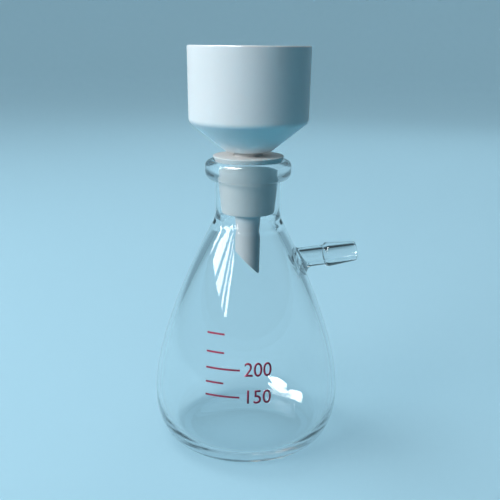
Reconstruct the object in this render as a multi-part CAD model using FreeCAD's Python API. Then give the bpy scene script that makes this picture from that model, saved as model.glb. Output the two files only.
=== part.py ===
import FreeCAD, Part
import math
import os

# Vacuum filtration unit: a conical filter flask of blown glass with a side tube for the
# vacuum hose, a bored rubber stopper wedged in its mouth, and a one-piece filter funnel
# whose stem goes through the stopper. The flask stands on Z = 0 with its axis on +Z, and
# the side tube points along +X. All sizes are millimetres.

# ---- Driving dimensions ---------------------------------------------------------------

# Filter flask, outside
BODY_D = 85.0             # widest outside diameter
WIDEST_Z = 21.5           # height of the widest ring
HEEL_W = 11.5             # how far the side stands out past the foot
HEEL_FULLNESS = 0.55      # 0.55 makes the heel a quarter ellipse, more makes it squarer
FOOT_W = 4.0              # width of the flat ring that the flask stands on
PUNT_RISE = 2.6           # how far the middle of the base is pushed up
SIDE_RISE = 27.0          # how far the side keeps its upright direction above the widest ring
CONE_ANGLE = 27.0         # degrees from upright, where the side meets the shoulder
CONE_RUN = 18.0           # how far the side keeps that slope below the shoulder
SHOULDER_Z = 105.0        # height where the cone would meet the neck
SHOULDER_R = 16.0         # concave radius between the cone and the neck
NECK_D = 28.4             # outside diameter of the neck
NECK_L = 25.0             # height of the lip's top above SHOULDER_Z
LIP_OUT = 4.8             # how far the thick rounded lip stands out from the neck
LIP_H = 8.6               # height of the lip
LIP_TOP_ROUND = 2.4       # radius of the lip's upper outer edge
LIP_UNDER_ROUND = 3.6     # radius of the lip's lower outer edge
LIP_FILLET = 0.8          # radius between the lip's underside and the neck

# Filter flask, inside
SIDE_WALL = 2.2
NECK_WALL = 1.1
BASE_WALL = 3.2
SHOULDER_DROP = 6.2       # the bore turns into the cone this much lower than the outside does
SHOULDER_IN_R = 6.0       # radius of that inside turn
MOUTH_FLARE = 1.3         # how much wider the mouth is than the bore, on the radius
MOUTH_DEPTH = 8.0         # height of the taper between bore and mouth
MOUTH_ROUND = 2.0         # fire-polished rounding of the mouth's edge

# Side tube, measured along its own axis from the flask's axis
TUBE_DROP = 23.0          # its axis crosses the flask's axis this far below SHOULDER_Z
TUBE_TILT = 6.0           # degrees above level
TUBE_D = 9.2              # outside diameter of the plain stretch
TUBE_BORE_D = 5.6
TUBE_FILLET = 3.0         # concave radius where the tube is fused to the side
NOZZLE_REACH = 50.6       # flask's axis to the open end
NOZZLE_L = 15.0           # length of the hose nozzle
NOZZLE_STEP = 1.1         # how far the nozzle's shoulder stands out from the plain stretch
NOZZLE_TAPER = 1.3        # how much the nozzle's radius shrinks towards the open end
NOZZLE_ROUND = 2.0        # rounding of the nozzle's shoulder
NOZZLE_FILLET = 0.8       # concave radius between the plain stretch and that shoulder
TIP_ROUND = 0.7           # fire-polished rounding of the open end

# Rubber stopper
STOPPER_H = 25.5
STOPPER_PROUD = 2.0       # how far the stopper stands above the lip
STOPPER_SPREAD = 1.6      # how much wider its top is than the mouth, on the radius
SPREAD_SHARE = 0.65       # it starts to spread this share of MOUTH_ROUND below the lip's top
STOPPER_SLACK = 1.4       # gap between its foot and the neck's bore, on the radius
STOPPER_ROUND = 0.3
SEAT_BAND = 2.5           # height of the band that grips the bore below the tapered mouth
SEAT_CLEARANCE = 0.05     # between stopper and glass all along the seat, on the radius

# Filter funnel
FUNNEL_GAP = 2.1          # the cone's foot above the stopper's top
BOWL_D = 53.0             # outside diameter at the rim
BOWL_DRAFT = 0.4          # how much the outside radius shrinks from the rim to the cone
BOWL_H = 31.8             # rim to the corner of the cone
BOWL_WALL = 2.2
BOWL_ROUND = 3.0          # radius of the corner between bowl and cone
BOWL_FILLET = 1.2         # concave radius between the bowl's inside and the plate
RIM_ROUND = 0.6
CONE_H = 12.6             # height of the cone below the bowl
CONE_FOOT_D = 20.6        # diameter where the cone ends in a flat foot
CONE_FOOT_ROUND = 0.8
PLATE_T = 2.6             # thickness of the perforated plate
PLATE_UP = 0.6            # underside of the plate above the corner of the cone
PLATE_LEDGE = 1.0         # how far the plate's solid edge reaches in past the bowl's inside
PLATE_HOLE_D = 1.8
PLATE_RINGS = 3           # rings of holes round the middle hole
PLATE_PITCH = 6.0         # distance from ring to ring
THROAT_UP = 2.0           # the cone's inside starts this far above its outside foot
STEM_L = 55.4             # cone foot to the tip of the stem
STEM_TOP_D = 12.6
STEM_TAPER = 0.9          # how much the stem's radius shrinks down to the tip
STEM_BORE_D = 7.6
STEM_BEVEL = 45.0         # degrees of the slanted cut at the tip
STEM_BLUNT = 1.0          # width of the flat that the cut leaves at the tip
STEM_CLEARANCE = 0.05     # between stem and stopper, on the radius

# ---- Values that follow from them -----------------------------------------------------

body_r = BODY_D / 2
foot_r = body_r - HEEL_W
punt_r = foot_r - FOOT_W
neck_r = NECK_D / 2
bore_r = neck_r - NECK_WALL
mouth_r = bore_r + MOUTH_FLARE
flask_h = SHOULDER_Z + NECK_L
lip_foot_z = flask_h - LIP_H
mouth_foot_z = flask_h - MOUTH_DEPTH
floor_z = PUNT_RISE + BASE_WALL
tube_z = SHOULDER_Z - TUBE_DROP

stopper_top_z = flask_h + STOPPER_PROUD
stopper_foot_z = stopper_top_z - STOPPER_H

funnel_foot_z = stopper_top_z + FUNNEL_GAP
bowl_foot_z = funnel_foot_z + CONE_H
rim_z = bowl_foot_z + BOWL_H
plate_z = bowl_foot_z + PLATE_UP
plate_top_z = plate_z + PLATE_T
stem_tip_z = funnel_foot_z - STEM_L
stem_tip_r = STEM_TOP_D / 2 - STEM_TAPER
bowl_foot_r = BOWL_D / 2 - BOWL_DRAFT
above_z = rim_z + BOWL_H


# ---- Helpers --------------------------------------------------------------------------

def point(r, z):
    """A point of a turned outline: radius along X, height along Z."""
    return FreeCAD.Vector(r, 0, z)


def slanted(start, length):
    """The point at this length from start, down the slope of the flask's cone."""
    angle = math.radians(CONE_ANGLE)
    return start + FreeCAD.Vector(math.sin(angle), 0, -math.cos(angle)) * length


def curve(*points):
    """A Bezier curve with these control points."""
    bezier = Part.BezierCurve()
    bezier.setPoles(list(points))
    return bezier.toShape()


def rounded(corners):
    """Straight edges through (point, radius) corners, with an arc at each corner that has a radius."""
    edges = []
    last = corners[0][0]
    for before, (corner, radius), after in zip(corners, corners[1:], corners[2:]):
        if radius:
            back = (before[0] - corner).normalize()
            ahead = (after[0] - corner).normalize()
            half = back.getAngle(ahead) / 2
            reach = radius / math.tan(half)
            middle = corner + (back + ahead).normalize() * (radius / math.sin(half) - radius)
            start = corner + back * reach
            end = corner + ahead * reach
            edges.append(Part.makeLine(last, start))
            edges.append(Part.Arc(start, middle, end).toShape())
            last = end
        else:
            edges.append(Part.makeLine(last, corner))
            last = corner
    edges.append(Part.makeLine(last, corners[-1][0]))
    return edges


def turned(edges):
    """The solid made by turning an outline round Z, closed along the axis."""
    first = edges[0].valueAt(edges[0].FirstParameter)
    last = edges[-1].valueAt(edges[-1].LastParameter)
    wire = Part.Wire(edges + [Part.makeLine(last, first)])
    solid = Part.Face(wire).revolve(FreeCAD.Vector(0, 0, 0), FreeCAD.Vector(0, 0, 1), 360)
    return Part.makeSolid(Part.Shell(solid.Faces))


def along_tube(shape):
    """Moves a shape modelled along +Z from the origin onto the side tube's axis."""
    shape.rotate(FreeCAD.Vector(0, 0, 0), FreeCAD.Vector(0, 1, 0), 90 - TUBE_TILT)
    shape.translate(FreeCAD.Vector(0, 0, tube_z))
    return shape


# ---- Filter flask ---------------------------------------------------------------------

def skin(foot, widest, corner, turn_r, above):
    """The flask's outside or inside, from its foot up the side and on through the corners above."""
    heel = curve(
        foot,
        point(foot.x + (widest.x - foot.x) * HEEL_FULLNESS, foot.z),
        point(widest.x, widest.z - (widest.z - foot.z) * HEEL_FULLNESS),
        widest,
    )
    reach = turn_r * math.tan(math.radians(CONE_ANGLE) / 2)
    shoulder = slanted(corner, reach)
    flank = curve(
        widest,
        point(widest.x, widest.z + SIDE_RISE),
        slanted(shoulder, CONE_RUN),
        shoulder,
    )
    down_slope = (slanted(corner, 2 * reach), 0)
    neck = rounded([down_slope, (corner, turn_r)] + above)[1:]
    return [heel, flank] + neck


def base(height):
    """The pushed-up middle of the base, its foot at this height, out to the flat ring."""
    return curve(
        point(0, height + PUNT_RISE),
        point(punt_r / 2, height + PUNT_RISE),
        point(punt_r * 0.8, height),
        point(punt_r, height),
    )


def flask_outside():
    """The flask as if it were solid glass, without its side tube."""
    foot = Part.makeLine(point(punt_r, 0), point(foot_r, 0))
    lip = [
        (point(neck_r, lip_foot_z), LIP_FILLET),
        (point(neck_r + LIP_OUT, lip_foot_z), LIP_UNDER_ROUND),
        (point(neck_r + LIP_OUT, flask_h), LIP_TOP_ROUND),
        (point(0, flask_h), 0),
    ]
    side = skin(
        point(foot_r, 0),
        point(body_r, WIDEST_Z),
        point(neck_r, SHOULDER_Z),
        SHOULDER_R,
        lip,
    )
    return turned([base(0), foot] + side)


def flask_inside():
    """The hollow of the flask, up through its tapered mouth."""
    ring_r = foot_r - FOOT_W / 2
    floor = Part.makeLine(point(punt_r, BASE_WALL), point(ring_r, BASE_WALL))
    mouth = [
        (point(bore_r, mouth_foot_z), 0),
        (point(mouth_r, flask_h), MOUTH_ROUND),
        (point(mouth_r + MOUTH_ROUND, flask_h), 0),
        (point(mouth_r + MOUTH_ROUND, above_z), 0),
        (point(0, above_z), 0),
    ]
    side = skin(
        point(ring_r, BASE_WALL),
        point(body_r - SIDE_WALL, WIDEST_Z),
        point(bore_r, SHOULDER_Z - SHOULDER_DROP),
        SHOULDER_IN_R,
        mouth,
    )
    return turned([base(BASE_WALL), floor] + side)


def tube_outside():
    """The side tube and its hose nozzle as if they were solid glass, along +Z."""
    shoulder = NOZZLE_REACH - NOZZLE_L
    tube_r = TUBE_D / 2
    nozzle_r = tube_r + NOZZLE_STEP
    return turned(rounded([
        (point(0, 0), 0),
        (point(tube_r, 0), 0),
        (point(tube_r, shoulder), NOZZLE_FILLET),
        (point(nozzle_r, shoulder + NOZZLE_STEP), NOZZLE_ROUND),
        (point(nozzle_r - NOZZLE_TAPER, NOZZLE_REACH), TIP_ROUND),
        (point(0, NOZZLE_REACH), 0),
    ]))


def tube_inside():
    """The bore of the side tube, along +Z, with its flared mouth."""
    tube_bore_r = TUBE_BORE_D / 2
    past = NOZZLE_REACH + TIP_ROUND
    return turned(rounded([
        (point(0, 0), 0),
        (point(tube_bore_r, 0), 0),
        (point(tube_bore_r, NOZZLE_REACH - TIP_ROUND / 2), 0),
        (point(tube_bore_r + TIP_ROUND, past), 0),
        (point(0, past), 0),
    ]))


def from_tube_axis(spot):
    """How far a point lies from the side tube's axis."""
    tilt = math.radians(TUBE_TILT)
    axis = FreeCAD.Vector(math.cos(tilt), 0, math.sin(tilt))
    return (spot - FreeCAD.Vector(0, 0, tube_z)).cross(axis).Length


def seam(glass):
    """The edges where the side tube's plain stretch meets the flask's side."""
    found = []
    for edge in [e for e in glass.Edges if not e.Degenerated]:
        spots = edge.discretize(9)
        on_tube = all(abs(from_tube_axis(spot) - TUBE_D / 2) < 0.01 for spot in spots)
        on_side = all(0 < spot.x < NOZZLE_REACH - NOZZLE_L - 2 * NOZZLE_FILLET for spot in spots)
        spread = max(spot.x for spot in spots) - min(spot.x for spot in spots)
        if on_tube and on_side and spread > TUBE_D / 10:
            found.append(edge)
    return found


def make_flask():
    """The blown flask, with its side tube fused on and opened into the hollow."""
    glass = flask_outside().fuse(along_tube(tube_outside()))
    glass = glass.makeFillet(TUBE_FILLET, seam(glass))
    glass = glass.cut(flask_inside())
    return glass.cut(along_tube(tube_inside()))


# ---- Rubber stopper -------------------------------------------------------------------

def stem_radius(z):
    """The stem's outside radius at a height: it tapers evenly from the cone's foot to its tip."""
    return STEM_TOP_D / 2 - STEM_TAPER * (funnel_foot_z - z) / STEM_L


def make_stopper():
    """The stopper as it sits: gripped by the neck, spread in the mouth, bored for the stem."""
    grip_r = bore_r - SEAT_CLEARANCE
    spread_drop = SPREAD_SHARE * MOUTH_ROUND
    spread_r = mouth_r - MOUTH_FLARE * spread_drop / MOUTH_DEPTH - SEAT_CLEARANCE
    plug = turned(rounded([
        (point(0, stopper_foot_z), 0),
        (point(bore_r - STOPPER_SLACK, stopper_foot_z), STOPPER_ROUND),
        (point(grip_r, mouth_foot_z - SEAT_BAND), 0),
        (point(grip_r, mouth_foot_z), 0),
        (point(spread_r, flask_h - spread_drop), 0),
        (point(mouth_r + STOPPER_SPREAD, stopper_top_z), STOPPER_ROUND),
        (point(0, stopper_top_z), 0),
    ]))
    low = stopper_foot_z - STOPPER_PROUD
    high = stopper_top_z + STOPPER_PROUD
    hole = turned(rounded([
        (point(0, low), 0),
        (point(stem_radius(low) + STEM_CLEARANCE, low), 0),
        (point(stem_radius(high) + STEM_CLEARANCE, high), 0),
        (point(0, high), 0),
    ]))
    return plug.cut(hole)


# ---- Filter funnel --------------------------------------------------------------------

def funnel_outside():
    """The bowl, cone and stem as if they were solid."""
    return turned(rounded([
        (point(0, stem_tip_z), 0),
        (point(stem_tip_r, stem_tip_z), 0),
        (point(STEM_TOP_D / 2, funnel_foot_z), 0),
        (point(CONE_FOOT_D / 2, funnel_foot_z), CONE_FOOT_ROUND),
        (point(bowl_foot_r, bowl_foot_z), BOWL_ROUND),
        (point(BOWL_D / 2, rim_z), RIM_ROUND),
        (point(0, rim_z), 0),
    ]))


def bowl_inside():
    """The open hollow above the perforated plate."""
    inside_r = BOWL_D / 2 - BOWL_WALL
    return turned(rounded([
        (point(0, plate_top_z), 0),
        (point(inside_r - BOWL_DRAFT, plate_top_z), BOWL_FILLET),
        (point(inside_r, rim_z), 0),
        (point(inside_r, above_z), 0),
        (point(0, above_z), 0),
    ]))


def cone_inside():
    """The hollow under the plate, which runs down the cone and out through the stem."""
    stem_bore_r = STEM_BORE_D / 2
    past = stem_tip_z - STEM_BORE_D
    return turned(rounded([
        (point(0, past), 0),
        (point(stem_bore_r, past), 0),
        (point(stem_bore_r, funnel_foot_z + THROAT_UP), 0),
        (point(bowl_foot_r - BOWL_WALL - PLATE_LEDGE, plate_z), 0),
        (point(0, plate_z), 0),
    ]))


def plate_holes():
    """The holes through the plate: one in the middle and rings of them round it."""
    spots = [(0.0, 0.0)]
    for ring in range(1, PLATE_RINGS + 1):
        count = 6 * ring
        for step in range(count):
            angle = 2 * math.pi * step / count
            reach = ring * PLATE_PITCH
            spots.append((reach * math.cos(angle), reach * math.sin(angle)))
    holes = []
    for x, y in spots:
        foot = FreeCAD.Vector(x, y, plate_z - PLATE_T / 2)
        holes.append(Part.makeCylinder(PLATE_HOLE_D / 2, 2 * PLATE_T, foot))
    return Part.makeCompound(holes)


def bevel():
    """What the slanted cut takes off the tip of the stem, on the side away from the side tube."""
    size = 2 * STEM_TOP_D
    cutter = Part.makeBox(size, size, size, FreeCAD.Vector(-size, -size / 2, -size))
    cutter.rotate(FreeCAD.Vector(0, 0, 0), FreeCAD.Vector(0, 1, 0), 90 - STEM_BEVEL)
    cutter.translate(FreeCAD.Vector(stem_tip_r - STEM_BLUNT, 0, stem_tip_z))
    return cutter


def make_funnel():
    """The one-piece funnel: bowl, perforated plate, cone and bevelled stem."""
    funnel = funnel_outside().cut(bowl_inside())
    funnel = funnel.cut(cone_inside())
    funnel = funnel.cut(plate_holes())
    return funnel.cut(bevel())


# ---- The parts ------------------------------------------------------------------------

def main():
    """Writes one STEP file for each piece and prints what it measures."""
    os.makedirs("parts", exist_ok=True)
    pieces = {
        "filter_flask": make_flask(),
        "rubber_stopper": make_stopper(),
        "filter_funnel": make_funnel(),
    }
    for name, piece in pieces.items():
        piece.exportStep(f"parts/{name}.step")
        print(f"{name}: {len(piece.Solids)} solid, valid {piece.isValid()}, {piece.Volume:.0f} mm3")
    level = Part.makeCylinder(BODY_D, tube_z - TUBE_BORE_D / 2)
    held = flask_inside().common(level).Volume / 1000
    print(f"the flask holds {held:.0f} ml up to its side tube")
    print(f"the rim is {rim_z:.1f} mm above the foot, and the stem's tip {stem_tip_z:.1f} mm")


if __name__ == "__main__":
    main()
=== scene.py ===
"""Vacuum filtration unit: a blown glass filter flask, a bored rubber stopper and a plastic funnel.

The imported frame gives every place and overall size. Each sub-assembly below is a class that
builds its meshes from turned outlines in the frame's own coordinates, in metres, and dresses
them in procedural finishes.
"""

import logging
import math
from bisect import bisect_left
from dataclasses import dataclass, field
from enum import Enum

import bmesh
import bpy
from bpy.types import ID, Material, Mesh, Node, NodeSocket, NodeTree, Object, World
from mathutils import Matrix, Vector

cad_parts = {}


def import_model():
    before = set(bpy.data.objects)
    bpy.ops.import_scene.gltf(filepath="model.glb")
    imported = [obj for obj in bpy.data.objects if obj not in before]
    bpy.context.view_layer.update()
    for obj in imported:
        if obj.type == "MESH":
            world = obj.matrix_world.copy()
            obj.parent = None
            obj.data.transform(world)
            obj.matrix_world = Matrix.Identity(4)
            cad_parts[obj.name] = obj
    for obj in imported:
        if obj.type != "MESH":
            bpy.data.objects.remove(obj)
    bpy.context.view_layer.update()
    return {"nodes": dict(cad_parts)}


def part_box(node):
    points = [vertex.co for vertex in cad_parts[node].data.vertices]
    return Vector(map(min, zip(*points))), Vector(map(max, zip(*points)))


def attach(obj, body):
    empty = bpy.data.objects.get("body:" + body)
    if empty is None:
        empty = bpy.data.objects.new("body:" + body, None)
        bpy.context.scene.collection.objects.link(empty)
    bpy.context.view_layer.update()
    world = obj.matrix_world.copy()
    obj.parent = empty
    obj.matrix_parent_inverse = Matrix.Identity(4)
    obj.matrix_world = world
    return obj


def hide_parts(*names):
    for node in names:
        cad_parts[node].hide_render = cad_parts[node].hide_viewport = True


MM = 0.001
TINY = 1e-7
LOG = logging.getLogger("vacuum_filtration_unit")
Colour = tuple[float, float, float]


# ---- Outlines ----


@dataclass(frozen=True)
class Corner:
    """A corner of a turned outline, in metres, with the radius that rounds it."""

    radius: float
    height: float
    rounding: float = 0.0

    @property
    def spot(self) -> Vector:
        """The corner's place in the half-plane of radius and height."""
        return Vector((self.radius, self.height))


def bezier(start: Vector, first: Vector, second: Vector, end: Vector, steps: int) -> list[Vector]:
    """Points along a cubic Bezier curve.

    Args:
        start: where the curve starts.
        first: its first handle.
        second: its second handle.
        end: where it ends.
        steps: how many steps it is drawn in.

    Returns:
        The points from start to end.
    """
    points = []
    for step in range(steps + 1):
        t = step / steps
        s = 1 - t
        points.append(start * s**3 + first * (3 * s * s * t) + second * (3 * s * t * t) + end * t**3)
    return points


def straight(start: Vector, end: Vector, step: float) -> list[Vector]:
    """Evenly spaced points from start to end, no further than step apart."""
    count = max(1, math.ceil((end - start).length / step))
    return [start.lerp(end, index / count) for index in range(count + 1)]


def arc_start(before: Vector, corner: Corner, after: Vector) -> Vector:
    """Where the arc that rounds a corner leaves the line from the point before it.

    Args:
        before: the point before the corner.
        corner: the corner.
        after: the point after it.

    Returns:
        The arc's first point.
    """
    back = (before - corner.spot).normalized()
    half = back.angle(after - corner.spot) / 2
    return corner.spot + back * (corner.rounding / math.tan(half))


def rounded(corners: list[Corner], step: float, arc_steps: int = 8) -> list[Vector]:
    """The outline through corners, with an arc at each one that has a rounding.

    Args:
        corners: the corners in order; the first and last are the outline's ends.
        step: the longest distance between points on a straight stretch.
        arc_steps: how many steps an arc is drawn in.

    Returns:
        The outline's points.
    """
    points = [corners[0].spot]

    def reach_to(spot: Vector) -> None:
        """Draws a straight stretch to spot."""
        if (spot - points[-1]).length > TINY:
            points.extend(straight(points[-1], spot, step)[1:])

    for before, corner, after in zip(corners, corners[1:], corners[2:]):
        if not corner.rounding:
            reach_to(corner.spot)
            continue
        back = (before.spot - corner.spot).normalized()
        ahead = (after.spot - corner.spot).normalized()
        half = back.angle(ahead) / 2
        centre = corner.spot + (back + ahead).normalized() * (corner.rounding / math.sin(half))
        start = arc_start(before.spot, corner, after.spot)
        arm = start - centre
        end_arm = arc_start(after.spot, corner, before.spot) - centre
        sweep = math.copysign(math.pi - 2 * half, arm.cross(end_arm))
        reach_to(start)
        for index in range(1, arc_steps + 1):
            points.append(centre + Matrix.Rotation(sweep * index / arc_steps, 2) @ arm)
    reach_to(corners[-1].spot)
    return points


# ---- Meshes ----


def placed(name: str, shape: ID, finish: Material | None = None) -> Object:
    """Puts a mesh, a lamp, a camera or a text in the scene.

    Args:
        name: the new object's name.
        shape: what it shows.
        finish: the material that a mesh is given.

    Returns:
        The object, at the origin.
    """
    shown = bpy.data.objects.new(name, shape)
    bpy.context.scene.collection.objects.link(shown)
    if finish:
        shape.materials.append(finish)
    return shown


def frozen(source: Object) -> Mesh:
    """A plain mesh of what an object shows, after which the object is removed.

    Args:
        source: the object.

    Returns:
        The mesh.
    """
    bpy.context.view_layer.update()
    evaluated = source.evaluated_get(bpy.context.evaluated_depsgraph_get())
    mesh = bpy.data.meshes.new_from_object(evaluated)
    source.modifiers.clear()
    bpy.data.objects.remove(source)
    return mesh


def outwards(mesh: Mesh) -> None:
    """Turns every face of a closed mesh outwards.

    Args:
        mesh: the mesh, which is changed.
    """
    draft = bmesh.new()
    draft.from_mesh(mesh)
    bmesh.ops.recalc_face_normals(draft, faces=draft.faces)
    if draft.calc_volume(signed=True) < 0:
        bmesh.ops.reverse_faces(draft, faces=draft.faces)
    draft.to_mesh(mesh)
    draft.free()


def in_fixed_order(draft: bmesh.types.BMesh) -> None:
    """Puts the faces in the order of their points' numbers, the same each time.

    Args:
        draft: the mesh.
    """
    draft.verts.index_update()
    ordered = sorted(draft.faces, key=lambda face: sorted(vertex.index for vertex in face.verts))
    for place, face in enumerate(ordered):
        face.index = place
    draft.faces.sort()


class MeshDraft:
    """Vertices and faces of a mesh while it is being drawn."""

    def __init__(self) -> None:
        """Starts with nothing drawn."""
        self.vertices: list[Vector] = []
        self.faces: list[tuple[int, ...]] = []

    def ring(self, points: list[Vector]) -> list[int]:
        """Adds points.

        Args:
            points: the points.

        Returns:
            Their numbers.
        """
        first = len(self.vertices)
        self.vertices.extend(points)
        return list(range(first, len(self.vertices)))

    def bridge(self, low: list[int], high: list[int], skip: frozenset[int] = frozenset()) -> None:
        """Joins two closed rings of points with faces; a ring of one point is a pole.

        Args:
            low: the numbers of one ring's points.
            high: the numbers of the other ring's points.
            skip: the steps round the ring where no face is made.
        """
        count = max(len(low), len(high))
        for index in range(count):
            if index in skip:
                continue
            after = (index + 1) % count
            if len(low) == 1:
                self.faces.append((low[0], high[after], high[index]))
            elif len(high) == 1:
                self.faces.append((low[index], low[after], high[0]))
            else:
                self.faces.append((low[index], low[after], high[after], high[index]))

    def joined(self, rings: list[list[int]]) -> None:
        """Joins each ring to the next one."""
        for low, high in zip(rings, rings[1:]):
            self.bridge(low, high)

    def grow(self, last: list[int], points: list[Vector]) -> list[int]:
        """Adds a ring of points and joins it to the last ring.

        Args:
            last: the numbers of the last ring's points.
            points: the new ring's points.

        Returns:
            The numbers of the new ring's points.
        """
        numbers = self.ring(points)
        self.bridge(last, numbers)
        return numbers

    def spots(self, numbers: list[int]) -> list[Vector]:
        """The points that have these numbers."""
        return [self.vertices[number] for number in numbers]

    def turned(self, outline: list[Vector], segments: int) -> list[list[int]]:
        """Adds the rings of an outline turned round Z, without joining them.

        Args:
            outline: points in the half-plane of radius and height.
            segments: how many steps there are in one turn.

        Returns:
            The rings, each a list of point numbers; a point on the axis is a ring of one.
        """
        turn = [2 * math.pi * index / segments for index in range(segments)]
        rings = []
        for radius, height in outline:
            if radius < TINY:
                rings.append(self.ring([Vector((0, 0, height))]))
            else:
                spots = [Vector((radius * math.cos(a), radius * math.sin(a), height)) for a in turn]
                rings.append(self.ring(spots))
        return rings

    def mesh(self, name: str) -> Mesh:
        """What is drawn, as a mesh.

        Args:
            name: the mesh's name.

        Returns:
            The mesh.
        """
        mesh = bpy.data.meshes.new(name)
        mesh.from_pydata([tuple(v) for v in self.vertices], [], self.faces)
        return mesh

    def finished(self, name: str, finish: Material | None = None) -> Object:
        """What is drawn as a closed piece, smooth-shaded, its faces turned outwards.

        Args:
            name: the piece's name.
            finish: the material that it is given.

        Returns:
            Its object, at the origin.
        """
        mesh = self.mesh(name)
        mesh.validate()
        outwards(mesh)
        mesh.shade_smooth()
        return placed(name, mesh, finish)


# ---- Node trees ----


class Nodes:
    """Adds nodes to a tree and feeds them."""

    def __init__(self, tree: NodeTree) -> None:
        """Starts on a tree."""
        self.tree = tree

    def feed(self, socket: NodeSocket, value: object) -> None:
        """Links an input to another node's output, or sets it to a plain value.

        Args:
            socket: the input.
            value: the output to link, or the plain value.
        """
        if isinstance(value, NodeSocket):
            self.tree.links.new(value, socket)
        else:
            socket.default_value = value

    def node(self, kind: str, setup: dict[str, str] | None = None, **inputs: object) -> Node:
        """Adds a node.

        Args:
            kind: the node's type.
            setup: its own choices, made before its inputs are fed.
            inputs: a socket to link, or a plain value, for each input by name, with _ for a space.

        Returns:
            The node.
        """
        made = self.tree.nodes.new(kind)
        for name, choice in (setup or {}).items():
            setattr(made, name, choice)
        for name, value in inputs.items():
            self.feed(made.inputs[name.replace("_", " ")], value)
        return made

    def math(self, operation: str, first: object, second: object) -> NodeSocket:
        """Adds a sum of two values.

        Args:
            operation: what is done with the values.
            first: a socket or a plain value.
            second: a socket or a plain value.

        Returns:
            The socket that gives the result.
        """
        made = self.node("ShaderNodeMath", {"operation": operation})
        self.feed(made.inputs[0], first)
        self.feed(made.inputs[1], second)
        return made.outputs[0]


class ShapeNodes(Nodes):
    """Builds a geometry node group with named inputs and runs it on a blank."""

    def __init__(self, name: str, inputs: dict[str, tuple[str, object]]) -> None:
        """Starts a group with a geometry input and output and its named inputs.

        Args:
            name: the group's name.
            inputs: the kind and the value of each named input.
        """
        super().__init__(bpy.data.node_groups.new(name, "GeometryNodeTree"))
        self.inputs = inputs
        self.tree.interface.new_socket("Geometry", in_out="OUTPUT", socket_type="NodeSocketGeometry")
        kinds = {"Geometry": "Geometry"} | {key: kind for key, (kind, _) in inputs.items()}
        for key, kind in kinds.items():
            self.tree.interface.new_socket(key, in_out="INPUT", socket_type=f"NodeSocket{kind}")
        node = self.node("NodeGroupInput")
        self.given = {key: node.outputs[key] for key in kinds}

    def gathered(self, *parts: NodeSocket) -> NodeSocket:
        """Joins several geometries into one.

        Args:
            parts: the sockets that give them.

        Returns:
            The socket that gives the whole.
        """
        made = self.node("GeometryNodeJoinGeometry")
        for part in parts:
            self.feed(made.inputs[0], part)
        return made.outputs[0]

    def finish(self, shape: NodeSocket, material: NodeSocket) -> None:
        """Ends the group in Realize Instances and Set Material.

        Args:
            shape: the geometry that the group makes.
            material: the material that it is given.
        """
        real = self.node("GeometryNodeRealizeInstances", Geometry=shape)
        dressed = self.node("GeometryNodeSetMaterial", Geometry=real.outputs[0], Material=material)
        self.node("NodeGroupOutput", Geometry=dressed.outputs[0])

    def grown(self, blank: Object, name: str) -> Object:
        """Runs the finished group on a blank and keeps the result as a plain mesh.

        Args:
            blank: the object that the group starts from, which is removed.
            name: the name of the result.

        Returns:
            The result, at the origin.
        """
        modifier = blank.modifiers.new("grow", "NODES")
        modifier.node_group = self.tree
        for item in self.tree.interface.items_tree:
            if item.name in self.inputs:
                modifier[item.identifier] = self.inputs[item.name][1]
        mesh = frozen(blank)
        mesh.name = name
        return placed(name, mesh)


@dataclass(frozen=True)
class Grain:
    """A fine noise over a surface, and the two values between which it runs."""

    scale: float
    detail: float
    low: float = 0.0
    high: float = 1.0


class FinishNodes(Nodes):
    """Builds the node tree of a material or of the world."""

    def __init__(self, owner: Material | World) -> None:
        """Starts on the emptied tree of a material or the world.

        Args:
            owner: the material or the world.
        """
        self.owner = owner
        owner.use_nodes = True
        owner.node_tree.nodes.clear()
        super().__init__(owner.node_tree)

    def noise(self, grain: Grain) -> NodeSocket:
        """A noise on Object coordinates, between the grain's two values.

        Args:
            grain: its scale, its detail and the two values.

        Returns:
            The socket that gives the value.
        """
        place = self.node("ShaderNodeTexCoord").outputs["Object"]
        texture = self.node("ShaderNodeTexNoise", Scale=grain.scale, Detail=grain.detail, Vector=place)
        value = texture.outputs["Fac"]
        span = self.node("ShaderNodeMapRange", To_Min=grain.low, To_Max=grain.high, Value=value)
        return span.outputs["Result"]

    def bump(self, grain: Grain, distance: float) -> NodeSocket:
        """A normal bumped by a noise, which stands out by distance, in metres, where it is 1."""
        bumped = self.node("ShaderNodeBump", Strength=1.0, Distance=distance, Height=self.noise(grain))
        return bumped.outputs["Normal"]

    def tint(self, share: NodeSocket, low: object, high: object) -> NodeSocket:
        """A colour between two others.

        Args:
            share: the socket that gives how far towards high the colour is.
            low: the colour at 0, or a socket that gives it.
            high: the colour at 1, or a socket that gives it.

        Returns:
            The socket that gives the colour.
        """
        low, high = ((*colour, 1.0) if isinstance(colour, tuple) else colour for colour in (low, high))
        mix = self.node("ShaderNodeMix", {"data_type": "RGBA"}, A=low, B=high, Factor=share)
        return mix.outputs["Result"]

    def ray(self, fact: str) -> NodeSocket:
        """A fact about the ray that meets the surface, by its name in Light Path."""
        return self.node("ShaderNodeLightPath").outputs[fact]

    def glow(self, kind: str, colour: Colour, strength: float = 1.0) -> NodeSocket:
        """A plain light of one colour, as an Emission or a Background node gives it."""
        return self.node(kind, Color=(*colour, 1.0), Strength=strength).outputs[0]

    def mixed(self, share: object, first: NodeSocket, second: NodeSocket) -> NodeSocket:
        """Mixes two shaders.

        Args:
            share: how much of the second one shows.
            first: one shader.
            second: the other shader.

        Returns:
            The socket that gives the mix.
        """
        mix = self.node("ShaderNodeMixShader", Fac=share)
        self.feed(mix.inputs[1], first)
        self.feed(mix.inputs[2], second)
        return mix.outputs[0]

    def show(self, surface: NodeSocket, output: str = "ShaderNodeOutputMaterial") -> Material | World:
        """Ends the tree in a surface and returns the material or the world."""
        self.node(output, Surface=surface)
        return self.owner


# ---- Finishes ----


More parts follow.
